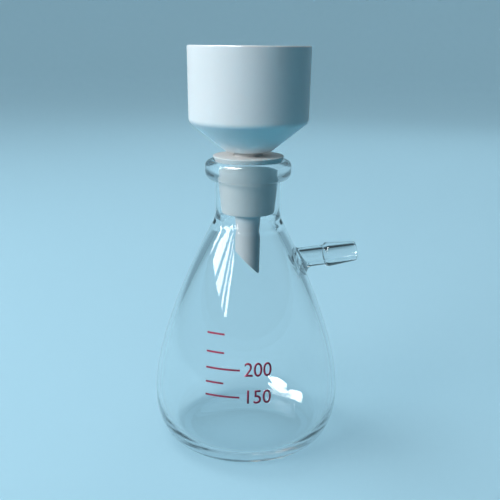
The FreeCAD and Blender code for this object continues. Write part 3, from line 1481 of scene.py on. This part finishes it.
@dataclass
class Studio:
    """The plain floor and backdrop, the soft lamps, the window's panes and the camera."""

    heading: float = 7.0
    distance: float = 0.327
    aside: float = 0.00115
    eye_z: float = 0.1785
    pitch: float = 15.35
    roll: float = 0.6
    focal: float = 745.0
    frame: float = 500.0
    sensor: float = 36.0
    nearest: float = 0.01
    furthest: float = 50.0
    aim_z: float = 0.085
    floor_colour: Colour = (0.41, 0.70, 0.86)
    floor_mottle: float = 0.97
    floor_roughness: float = 0.7
    floor_specular: float = 0.2
    shown_colour: Colour = (0.38, 0.68, 0.85)
    bounce_colour: Colour = (0.10, 0.36, 0.50)
    plain_share: float = 0.45
    fill_colour: Colour = (0.92, 0.96, 1.0)
    fill_strength: float = 0.10
    dark_strength: float = 0.06
    backdrop_strength: float = 0.5
    window_distance: float = 2.0
    floor_radius: float = 4.5
    floor_turn: float = 1.2
    floor_lean: float = 0.8
    floor_rise: float = 1.6
    floor_row: float = 0.5
    floor_arc_steps: int = 16
    floor_segments: int = 64

    def __post_init__(self) -> None:
        """Works out the level directions that the camera sees as ahead and right."""
        heading = math.radians(self.heading)
        self.ahead = Vector((math.sin(heading), math.cos(heading), 0))
        self.right = Vector((math.cos(heading), -math.sin(heading), 0))

    def camera(self) -> Object:
        """The camera, level with the rim and looking down at the flask.

        Returns:
            The camera.
        """
        pitch, roll = math.radians(self.pitch), math.radians(self.roll)
        ahead = self.ahead * math.cos(pitch) - Vector((0, 0, math.sin(pitch)))
        up = self.ahead * math.sin(pitch) + Vector((0, 0, math.cos(pitch)))
        turned_right = self.right * math.cos(roll) + up * math.sin(roll)
        turned_up = up * math.cos(roll) - self.right * math.sin(roll)
        place = self.right * self.aside - self.ahead * self.distance + Vector((0, 0, self.eye_z))
        lens = bpy.data.cameras.new("camera")
        lens.sensor_width = self.sensor
        lens.lens = self.focal / self.frame * lens.sensor_width
        lens.clip_start = self.nearest
        lens.clip_end = self.furthest
        shown = placed("camera", lens)
        turn = Matrix((turned_right, turned_up, -ahead)).transposed()
        shown.matrix_world = Matrix.Translation(place) @ turn.to_4x4()
        bpy.context.scene.camera = shown
        return shown

    def direction(self, azimuth: float, elevation: float) -> Vector:
        """A direction from the object; azimuth 0 is towards the camera and 90 is to its right.

        Args:
            azimuth: degrees round the object.
            elevation: degrees up from level.

        Returns:
            The direction, with a length of 1.
        """
        a, e = math.radians(azimuth), math.radians(elevation)
        flat = -self.ahead * math.cos(a) + self.right * math.sin(a)
        return flat * math.cos(e) + Vector((0, 0, math.sin(e)))

    def lamp(self, lamp: Lamp) -> Object:
        """Sets up one lamp.

        Args:
            lamp: where it stands, its size and its power.

        Returns:
            Its object.
        """
        light = bpy.data.lights.new(lamp.name, "AREA")
        light.shape = "RECTANGLE"
        light.size = lamp.width
        light.size_y = lamp.height
        light.energy = lamp.watts
        shown = placed(lamp.name, light)
        shown.visible_glossy = shown.visible_transmission = lamp.mirrored
        towards = self.direction(lamp.azimuth, lamp.elevation)
        place = Vector((0, 0, self.aim_z)) + towards * lamp.distance
        turn = towards.to_track_quat("Z", "Y").to_matrix()
        shown.matrix_world = Matrix.Translation(place) @ turn.to_4x4()
        return shown

    def pane(self, pane: Pane) -> Object:
        """Sets up one pane of the window, facing the object.

        Args:
            pane: where its corners lie, its strength and the wall that mirrors it.

        Returns:
            Its object.
        """
        aim = Vector((0, 0, self.aim_z))
        spots = [aim + self.direction(*corner) * self.window_distance for corner in pane.corners]
        draft = MeshDraft()
        draft.faces.append(tuple(draft.ring(spots)))
        nodes = FinishNodes(bpy.data.materials.new(pane.name))
        test, faces = ("GREATER_THAN", TWO_FACES_PASSED) if pane.far_wall else ("LESS_THAN", NO_GLASS_PASSED)
        wall = nodes.math(test, nodes.ray("Transmission Depth"), faces)
        once = nodes.math("LESS_THAN", nodes.ray("Glossy Depth"), MIRRORED_ONCE)
        unseen = nodes.node("ShaderNodeBsdfTransparent").outputs[0]
        glow = nodes.glow("ShaderNodeEmission", (1.0, 1.0, 1.0), pane.strength)
        material = nodes.show(nodes.mixed(nodes.math("MULTIPLY", wall, once), unseen, glow))
        material.cycles.emission_sampling = "NONE"
        shown = placed(pane.name, draft.mesh(pane.name), material)
        shown.visible_camera = shown.visible_diffuse = shown.visible_shadow = False
        return shown

    def floor(self) -> Object:
        """The plain floor, round, with an edge that curves up into the backdrop.

        Returns:
            Its object.
        """
        corners = [
            Corner(0.0, 0.0),
            Corner(self.floor_radius, 0.0, self.floor_turn),
            Corner(self.floor_radius + self.floor_lean, self.floor_rise),
        ]
        outline = rounded(corners, self.floor_row, self.floor_arc_steps)
        draft = MeshDraft()
        draft.joined(draft.turned(outline, self.floor_segments))
        shown = placed("studio_floor", draft.mesh("studio_floor"), self.floor_material())
        shown.data.shade_smooth()
        return shown

    def floor_material(self) -> Material:
        """The floor's plain pale finish, which bounces a deeper colour up onto the object.

        Returns:
            The material.
        """
        nodes = FinishNodes(bpy.data.materials.new("studio_floor"))
        low = tuple(self.floor_mottle * c for c in self.floor_colour)
        plain_floor = nodes.tint(nodes.noise(Grain(scale=3.0, detail=2.0)), low, self.floor_colour)
        surface = nodes.node(
            "ShaderNodeBsdfPrincipled",
            Roughness=self.floor_roughness,
            Specular_IOR_Level=self.floor_specular,
            Base_Color=nodes.tint(nodes.ray("Is Diffuse Ray"), plain_floor, self.bounce_colour),
        )
        seen = nodes.ray("Is Camera Ray")
        for fact in ("Is Transmission Ray", "Is Glossy Ray"):
            seen = nodes.math("MAXIMUM", seen, nodes.ray(fact))
        plain = nodes.glow("ShaderNodeEmission", self.shown_colour)
        share = nodes.math("MULTIPLY", seen, self.plain_share)
        return nodes.show(nodes.mixed(share, surface.outputs["BSDF"], plain))

    def world(self) -> None:
        """The soft even light from all round; past the backdrop, glass mirrors a dim room."""
        nodes = FinishNodes(bpy.data.worlds.new("studio"))
        shown = nodes.glow("ShaderNodeBackground", self.fill_colour, self.fill_strength)
        for fact, strength in (
            ("Is Transmission Ray", self.dark_strength),
            ("Is Glossy Ray", self.dark_strength),
            ("Is Camera Ray", self.backdrop_strength),
        ):
            ground = nodes.glow("ShaderNodeBackground", self.shown_colour, strength)
            shown = nodes.mixed(nodes.ray(fact), shown, ground)
        bpy.context.scene.world = nodes.show(shown, "ShaderNodeOutputWorld")

    def build(self) -> list[Object]:
        """Sets up the whole studio.

        Returns:
            The floor and the panes.
        """
        self.camera()
        self.world()
        for lamp in LAMPS:
            self.lamp(lamp)
        return [self.floor()] + [self.pane(pane) for pane in PANES]


# ---- The whole ----


def settle_light() -> None:
    """Keeps colours plain and lets light pass all the walls of the glass."""
    scene = bpy.context.scene
    scene.view_settings.view_transform = "Standard"
    scene.cycles.sample_clamp_indirect = 60.0
    scene.cycles.max_bounces = 32
    scene.cycles.glossy_bounces = 24
    scene.cycles.transmission_bounces = 32
    scene.cycles.transparent_max_bounces = 32
    bpy.context.view_layer.update()


def main() -> None:
    """Builds every piece in order, ties it to the frame and sets up the studio."""
    logging.basicConfig(level=logging.INFO, format="%(name)s: %(message)s")
    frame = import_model()

    flask_low, flask_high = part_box("filter_flask")
    stopper_low, stopper_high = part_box("rubber_stopper")
    funnel_low, funnel_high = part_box("filter_funnel")

    flask = FilterFlask(height=flask_high.z, body_radius=-flask_low.y)
    stopper = RubberStopper(
        foot_z=stopper_low.z,
        top_z=stopper_high.z,
        top_radius=stopper_high.y,
        seat_top_z=flask.seat_top_z,
        seat_radius=flask.seat_radius,
        grip_top_z=flask.height - flask.mouth_depth,
        grip_radius=flask.bore_radius,
    )
    funnel = FilterFunnel(
        rim_z=funnel_high.z,
        rim_radius=funnel_high.y,
        tip_z=funnel_low.z,
        stopper_top_z=stopper_high.z,
    )
    for assembly, node, slot in (
        (flask, "filter_flask", "flask_glass"),
        (Graduations(skin=flask.outer), None, "flask_glass"),
        (stopper, "rubber_stopper", "stopper_rubber"),
        (funnel, "filter_funnel", "funnel_plastic"),
    ):
        piece = assembly.build()
        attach(piece, "root")
        if node:
            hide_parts(node)
        LOG.info("%s: %d faces", piece.name, len(piece.data.polygons))

    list(Studio().build())
    settle_light()


if __name__ == "__main__":
    main()
